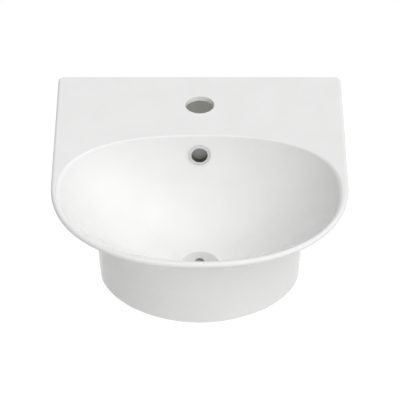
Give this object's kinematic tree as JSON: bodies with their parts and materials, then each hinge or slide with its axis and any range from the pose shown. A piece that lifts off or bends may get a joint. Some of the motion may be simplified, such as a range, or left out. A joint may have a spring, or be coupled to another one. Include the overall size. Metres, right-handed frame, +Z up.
{
  "type": "wall-hung basin",
  "caption": "Small wall-hung hand basin in white glazed ceramic with a flat tap ledge, a wide bowl, a chrome overflow ring and hanger-bolt wall fixings.",
  "frame": {"origin": "midpoint between the two wall bolts, on the plane of the wall", "axes": "+X to the right as the user faces the wall, +Y into the wall along the bolts, +Z up"},
  "size_m": [0.35, 0.422, 0.136],
  "materials": {
    "glaze": "gloss",
    "chrome": "polished",
    "nylon": "satin",
    "zinc": "zinc plated"
  },
  "bodies": {
    "basin": {"ceramic_body": "glaze", "wall_bolt_left": "zinc", "wall_bolt_right": "zinc", "bolt_bush_left": "nylon", "bolt_bush_right": "nylon", "bolt_washer_left": "zinc", "bolt_washer_right": "zinc", "bolt_nut_left": "zinc", "bolt_nut_right": "zinc"},
    "ring": {"overflow_ring": "chrome"}
  },
  "joints": [
    {"name": "overflow_ring_pull", "type": "slide", "parent": "basin", "child": "ring", "axis": [0, -0.9889, 0.1483], "range_m": [0, 0.02]}
  ]
}
